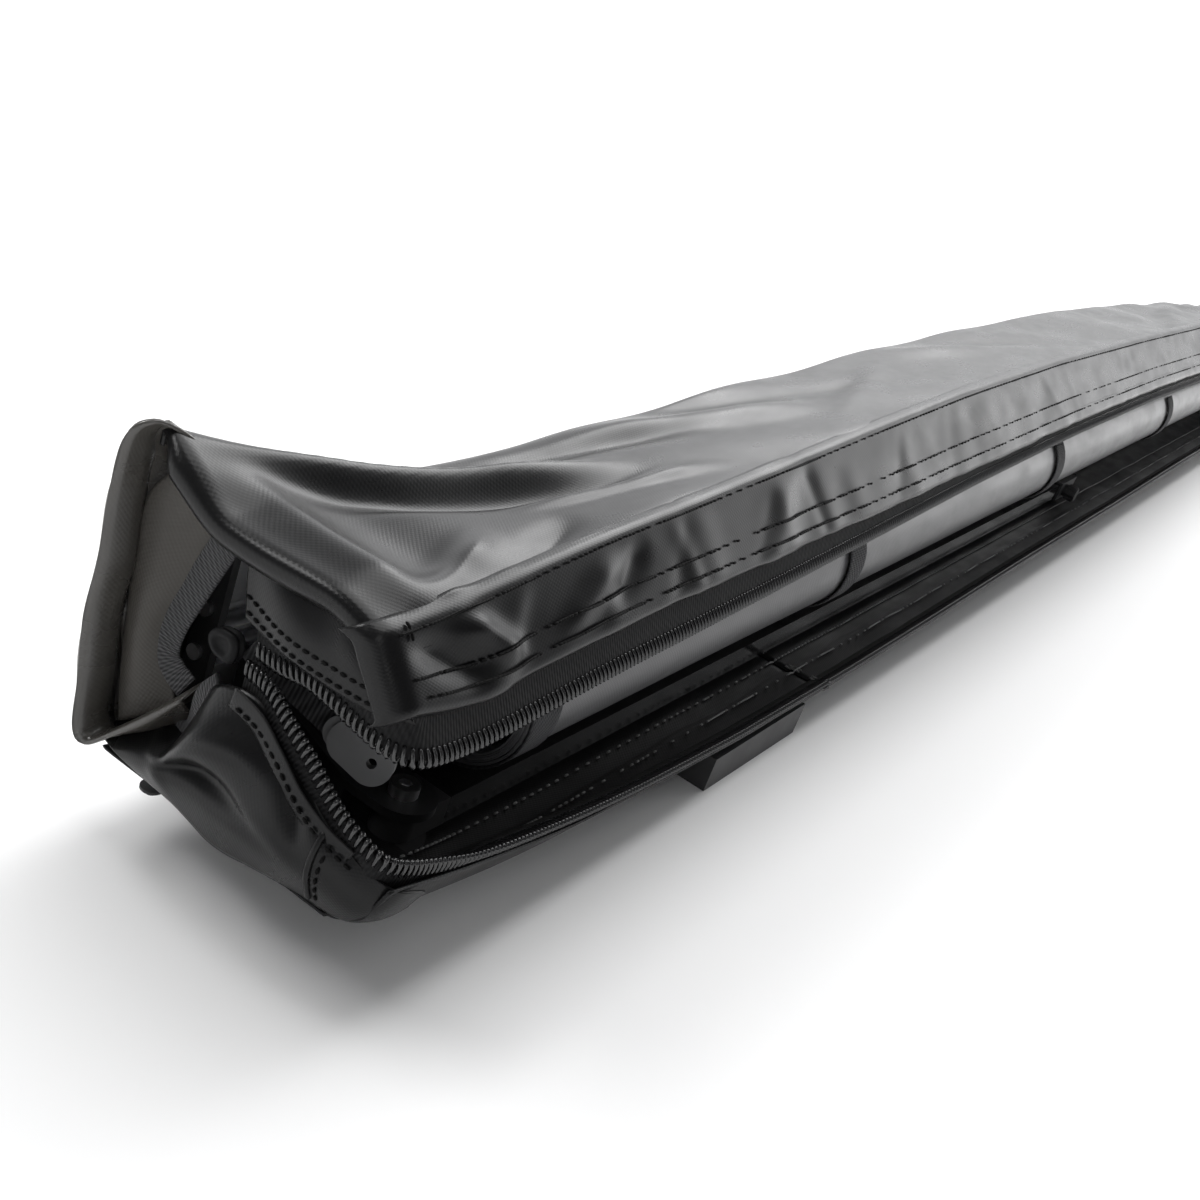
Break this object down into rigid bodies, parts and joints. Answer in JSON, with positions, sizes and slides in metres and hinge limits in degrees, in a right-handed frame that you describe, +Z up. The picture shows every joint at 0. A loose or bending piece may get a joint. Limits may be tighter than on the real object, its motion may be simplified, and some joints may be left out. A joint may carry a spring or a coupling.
{
  "type": "roll out awning",
  "caption": "Roll-out awning packed in an unzipped cloth bag on a slotted rail, with a strapped canopy roll, lead bar, folding telescopic legs, swing-out arms and vehicle brackets.",
  "frame": {"origin": "on the ground plane under the middle of the packed awning, at the underside of its mounting brackets", "axes": "+X along the awning towards its right end, seen from outside the vehicle; +Y from the bag mouth to the vehicle; +Z up"},
  "size_m": [2.3, 0.154, 0.169],
  "materials": {
    "rail_metal": "satin anodised extrusion",
    "moulding": "fine grained black moulding",
    "steel": "zinc plated",
    "bracket_paint": "satin black powder coat",
    "bag_cloth": "black coated cloth with a satin face",
    "panel_cloth": "dull brownish grey back of the coated cloth",
    "binding": "ribbed woven binding",
    "zip_tape": "woven zip tape",
    "zip_coil": "black nylon coil",
    "zip_slider": "black lacquered casting",
    "webbing": "black webbing",
    "pull_tab": "grey soft moulding",
    "bead": "white extruded cord",
    "canopy_cloth": "grey coated canopy cloth with a satin face",
    "tube_metal": "bright anodised tube",
    "arm_paint": "gloss black paint",
    "inner_tube_metal": "bright anodised tube",
    "foot_rubber": "black rubber"
  },
  "bodies": {
    "rail": {"back_rail": "rail_metal", "rail_caps": "moulding", "rail_screws": "steel", "arm_bracket_left": "bracket_paint", "arm_bracket_right": "bracket_paint", "bracket_screws": "steel", "arm_pivot_bolts": "steel", "mount_bracket_left": "bracket_paint", "mount_bracket_right": "bracket_paint", "mount_bolts": "steel", "mount_nuts": "steel", "bag_top": "bag_cloth", "bag_floor": "bag_cloth", "hood_left": "bag_cloth", "hood_right": "bag_cloth", "hood_studs": "moulding", "end_flap_left": "bag_cloth", "end_flap_right": "bag_cloth", "end_gusset_left": "bag_cloth", "end_gusset_right": "bag_cloth", "end_panels": "panel_cloth", "end_bindings": "binding", "zip_tape_upper": "zip_tape", "zip_tape_lower": "zip_tape", "zip_chain_upper": "zip_coil", "zip_chain_lower": "zip_coil", "zip_slider": "zip_slider", "bag_beads": "bead", "canopy_bead": "bead", "roll_straps": "webbing"},
    "zip_pull": {"zip_pull_tape": "webbing", "zip_pull_tab": "pull_tab"},
    "canopy_web": {"canopy_tail": "canopy_cloth", "canopy_roll": "canopy_cloth", "roll_hems": "webbing"},
    "lead_bar": {"lead_bar": "tube_metal", "lead_caps": "moulding", "leg_pins": "steel"},
    "left_leg": {"leg_left_knuckle": "moulding", "leg_left_outer": "tube_metal"},
    "left_leg_collar": {"leg_left_collar": "moulding"},
    "left_leg_inner": {"leg_left_inner": "inner_tube_metal", "leg_left_foot": "foot_rubber"},
    "left_arm": {"arm_left_knuckle": "moulding", "arm_left_outer": "arm_paint", "arm_left_clamp": "moulding"},
    "left_arm_inner": {"arm_left_inner": "inner_tube_metal", "arm_left_tip": "moulding"},
    "left_arm_knob": {"arm_left_knob": "moulding"},
    "right_leg": {"leg_right_knuckle": "moulding", "leg_right_outer": "tube_metal"},
    "right_leg_collar": {"leg_right_collar": "moulding"},
    "right_leg_inner": {"leg_right_inner": "inner_tube_metal", "leg_right_foot": "foot_rubber"},
    "right_arm": {"arm_right_knuckle": "moulding", "arm_right_outer": "arm_paint", "arm_right_clamp": "moulding"},
    "right_arm_inner": {"arm_right_inner": "inner_tube_metal", "arm_right_tip": "moulding"},
    "right_arm_knob": {"arm_right_knob": "moulding"}
  },
  "joints": [
    {"name": "roll_out", "type": "slide", "parent": "rail", "child": "canopy_web", "axis": [0, -1, 0], "range_m": [0, 1.9], "deforming": ["roll_straps", "canopy_tail", "canopy_roll", "roll_hems"]},
    {"name": "lead_turn", "type": "hinge", "parent": "canopy_web", "child": "lead_bar", "pos_m": [0, -0.019, 0.0805], "axis": [1, 0, 0], "range_deg": [0, 90]},
    {"name": "zip_pull_swing", "type": "hinge", "parent": "rail", "child": "zip_pull", "pos_m": [-1.139, 0.0173, 0.107], "axis": [0, 0, 1], "range_deg": [0, 60]},
    {"name": "left_leg_swing", "type": "hinge", "parent": "lead_bar", "child": "left_leg", "pos_m": [-1.025, -0.019, 0.0918], "axis": [0, 0, -1], "range_deg": [0, 90]},
    {"name": "left_leg_draw", "type": "slide", "parent": "left_leg", "child": "left_leg_inner", "axis": [1, 0, 0], "range_m": [0, 0.8]},
    {"name": "left_leg_lock", "type": "hinge", "parent": "left_leg", "child": "left_leg_collar", "pos_m": [-0.01, -0.019, 0.0918], "axis": [1, 0, 0], "range_deg": [0, 120]},
    {"name": "left_arm_swing", "type": "hinge", "parent": "rail", "child": "left_arm", "pos_m": [-1.075, -0.026, 0.0334], "axis": [0, 0, -1], "range_deg": [0, 90]},
    {"name": "left_arm_draw", "type": "slide", "parent": "left_arm", "child": "left_arm_inner", "axis": [1, 0, 0], "range_m": [0, 0.8]},
    {"name": "left_arm_clamp_turn", "type": "hinge", "parent": "left_arm", "child": "left_arm_knob", "pos_m": [-0.0703, -0.026, 0.0334], "axis": [0, 1, 0], "range_deg": [0, 360]},
    {"name": "right_leg_swing", "type": "hinge", "parent": "lead_bar", "child": "right_leg", "pos_m": [1.025, -0.019, 0.0692], "axis": [0, 0, 1], "range_deg": [0, 90]},
    {"name": "right_leg_draw", "type": "slide", "parent": "right_leg", "child": "right_leg_inner", "axis": [-1, 0, 0], "range_m": [0, 0.8]},
    {"name": "right_leg_lock", "type": "hinge", "parent": "right_leg", "child": "right_leg_collar", "pos_m": [0.01, -0.019, 0.0692], "axis": [-1, 0, 0], "range_deg": [0, 120]},
    {"name": "right_arm_swing", "type": "hinge", "parent": "rail", "child": "right_arm", "pos_m": [1.075, -0.004, 0.0334], "axis": [0, 0, 1], "range_deg": [0, 90]},
    {"name": "right_arm_draw", "type": "slide", "parent": "right_arm", "child": "right_arm_inner", "axis": [-1, 0, 0], "range_m": [0, 0.8]},
    {"name": "right_arm_clamp_turn", "type": "hinge", "parent": "right_arm", "child": "right_arm_knob", "pos_m": [0.0703, -0.004, 0.0334], "axis": [0, 1, 0], "range_deg": [0, 360]}
  ],
  "couplings": [
    {"joint": "lead_turn", "follows": "roll_out", "rad_per_m": 0.82668},
    {"joint": "left_leg_swing", "follows": "roll_out", "rad_per_m": 0.82668},
    {"joint": "right_leg_swing", "follows": "roll_out", "rad_per_m": 0.82668}
  ]
}
